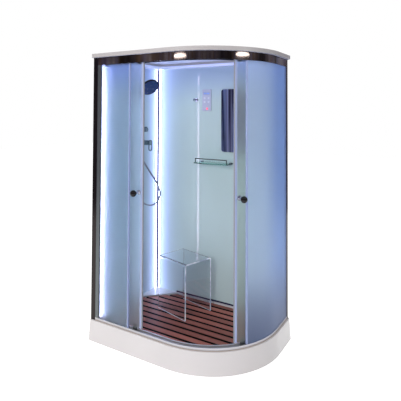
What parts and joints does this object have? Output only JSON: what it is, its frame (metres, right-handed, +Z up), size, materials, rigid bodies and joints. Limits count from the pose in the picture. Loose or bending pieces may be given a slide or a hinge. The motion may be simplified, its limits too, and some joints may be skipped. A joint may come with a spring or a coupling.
{
  "type": "shower cabin",
  "caption": "Tall glass shower cabin with a round front corner, low tray, sliding doors, lit corner, slatted deck, stool, mixer, hand shower, mirror and shelf.",
  "frame": {"origin": "on the floor, under the middle of the tray's plan and its middle foot", "axes": "+X along the long back wall towards the round corner, +Y towards the back wall, +Z up"},
  "size_m": [1.22, 0.86, 2.084],
  "materials": {
    "white_acrylic": "glossy white sheet",
    "polished_metal": "mirror polish",
    "satin_metal": "satin",
    "dark_metal": "dark satin",
    "frame_steel": "grey paint",
    "satin_glass": "blue satin glass",
    "clear_glass": "clear",
    "wall_glass": "back-painted glossy glass",
    "clear_seal": "clear vinyl",
    "light_diffuser": "frosted, lit",
    "grey_plastic": "matt grey",
    "black_plastic": "gloss black",
    "white_plastic": "gloss white",
    "blue_plastic": "dark blue face",
    "red_plastic": "lit red",
    "valve_brass": "cast brass",
    "silvered": "mirror",
    "deck_wood": "oiled dark hardwood",
    "clear_acrylic": "clear bent sheet"
  },
  "bodies": {
    "cabin": {"tray": "white_acrylic", "roof": "white_acrylic", "bottom_rail": "polished_metal", "header_rail": "polished_metal", "left_post": "polished_metal", "left_channel": "polished_metal", "right_post": "polished_metal", "mixer_body": "polished_metal", "diverter_plate": "polished_metal", "hose_outlet": "polished_metal", "hose": "polished_metal", "handset_holder": "polished_metal", "robe_hook": "polished_metal", "mirror_studs": "polished_metal", "shelf_brackets": "polished_metal", "shelf_rail": "polished_metal", "drain_strainer": "polished_metal", "light_channels": "satin_metal", "corner_profile": "dark_metal", "wall_base_profile": "dark_metal", "support_frame": "frame_steel", "fixed_glass_left": "satin_glass", "fixed_glass_right": "satin_glass", "shelf_glass": "clear_glass", "back_wall": "wall_glass", "left_wall": "wall_glass", "glass_end_seals": "clear_seal", "light_diffusers": "light_diffuser", "lamp_lens": "light_diffuser", "levelling_feet": "grey_plastic", "drain_trap": "grey_plastic", "fan_housing": "grey_plastic", "control_panel": "white_plastic", "lamp_housing": "white_plastic", "valve_body": "valve_brass", "mirror": "silvered"},
    "deck": {"deck_slats": "deck_wood", "deck_battens": "deck_wood"},
    "stool": {"stool": "clear_acrylic"},
    "door_left": {"door_glass_left": "clear_glass", "door_stile_left": "satin_metal", "door_brackets_left": "polished_metal", "knob_ball_left": "black_plastic", "knob_base_left": "polished_metal"},
    "door_right": {"door_glass_right": "clear_glass", "door_stile_right": "satin_metal", "door_brackets_right": "polished_metal", "knob_ball_right": "black_plastic", "knob_base_right": "polished_metal"},
    "roller_left_lead": {"roller_left_lead": "white_plastic"},
    "roller_left_tail": {"roller_left_tail": "white_plastic"},
    "roller_right_lead": {"roller_right_lead": "white_plastic"},
    "roller_right_tail": {"roller_right_tail": "white_plastic"},
    "mixer_cap": {"mixer_cap": "polished_metal"},
    "mixer_lever": {"mixer_lever": "polished_metal"},
    "diverter_knob": {"diverter_knob": "polished_metal"},
    "handset": {"handset": "blue_plastic"},
    "power_button": {"power_button": "red_plastic"},
    "fan_rotor": {"fan_rotor": "grey_plastic"}
  },
  "joints": [
    {"name": "left_door_slide", "type": "slide", "parent": "cabin", "child": "door_left", "axis": [1, 0, 0], "range_m": [0, 0.255]},
    {"name": "right_door_slide", "type": "hinge", "parent": "cabin", "child": "door_right", "pos_m": [0.05, 0.15, 0], "axis": [0, 0, -1], "range_deg": [0, 42]},
    {"name": "roller_left_lead_spin", "type": "hinge", "parent": "door_left", "child": "roller_left_lead", "pos_m": [-0.196, -0.3495, 1.9802], "axis": [0, 1, 0], "range_deg": [0, 1328.7]},
    {"name": "roller_left_tail_spin", "type": "hinge", "parent": "door_left", "child": "roller_left_tail", "pos_m": [-0.487, -0.3495, 1.9802], "axis": [0, 1, 0], "range_deg": [0, 1328.7]},
    {"name": "roller_right_lead_spin", "type": "hinge", "parent": "door_right", "child": "roller_right_lead", "pos_m": [0.44374, -0.15735, 1.9802], "axis": [0.7883, -0.6153, 0], "range_deg": [0, 1907.7]},
    {"name": "roller_right_tail_spin", "type": "hinge", "parent": "door_right", "child": "roller_right_tail", "pos_m": [0.54755, 0.19409, 1.9802], "axis": [0.9961, 0.0883, 0], "range_deg": [0, 1907.7]},
    {"name": "deck_lift", "type": "slide", "parent": "cabin", "child": "deck", "axis": [0, 0, 1], "range_m": [0, 0.2]},
    {"name": "stool_lift", "type": "slide", "parent": "deck", "child": "stool", "axis": [0, 0, 1], "range_m": [0, 0.3]},
    {"name": "mixer_turn", "type": "hinge", "parent": "cabin", "child": "mixer_cap", "pos_m": [-0.4976, 0.175, 1.373], "axis": [1, 0, 0], "range_deg": [-50, 50]},
    {"name": "lever_lift", "type": "hinge", "parent": "mixer_cap", "child": "mixer_lever", "pos_m": [-0.5051, 0.175, 1.373], "axis": [0, -1, 0], "range_deg": [0, 22]},
    {"name": "diverter_turn", "type": "hinge", "parent": "cabin", "child": "diverter_knob", "pos_m": [-0.54, 0.175, 1.48], "axis": [1, 0, 0], "range_deg": [-60, 60]},
    {"name": "handset_turn", "type": "hinge", "parent": "cabin", "child": "handset", "pos_m": [-0.40494, 0.03062, 1.83769], "axis": [-0.5173, -0.3282, -0.7904], "range_deg": [-60, 60]},
    {"name": "power_press", "type": "slide", "parent": "cabin", "child": "power_button", "axis": [0, 1, 0], "range_m": [0, 0.0015], "stiffness_N_per_m": 800},
    {"name": "fan_spin", "type": "hinge", "parent": "cabin", "child": "fan_rotor", "pos_m": [0.23, 0.06, 2.04], "axis": [0, 0, 1], "continuous": true}
  ],
  "couplings": [
    {"joint": "roller_left_lead_spin", "follows": "left_door_slide", "rad_per_m": 90.909},
    {"joint": "roller_left_tail_spin", "follows": "left_door_slide", "rad_per_m": 90.909},
    {"joint": "roller_right_lead_spin", "follows": "right_door_slide", "ratio": 45.409},
    {"joint": "roller_right_tail_spin", "follows": "right_door_slide", "ratio": 45.409}
  ]
}
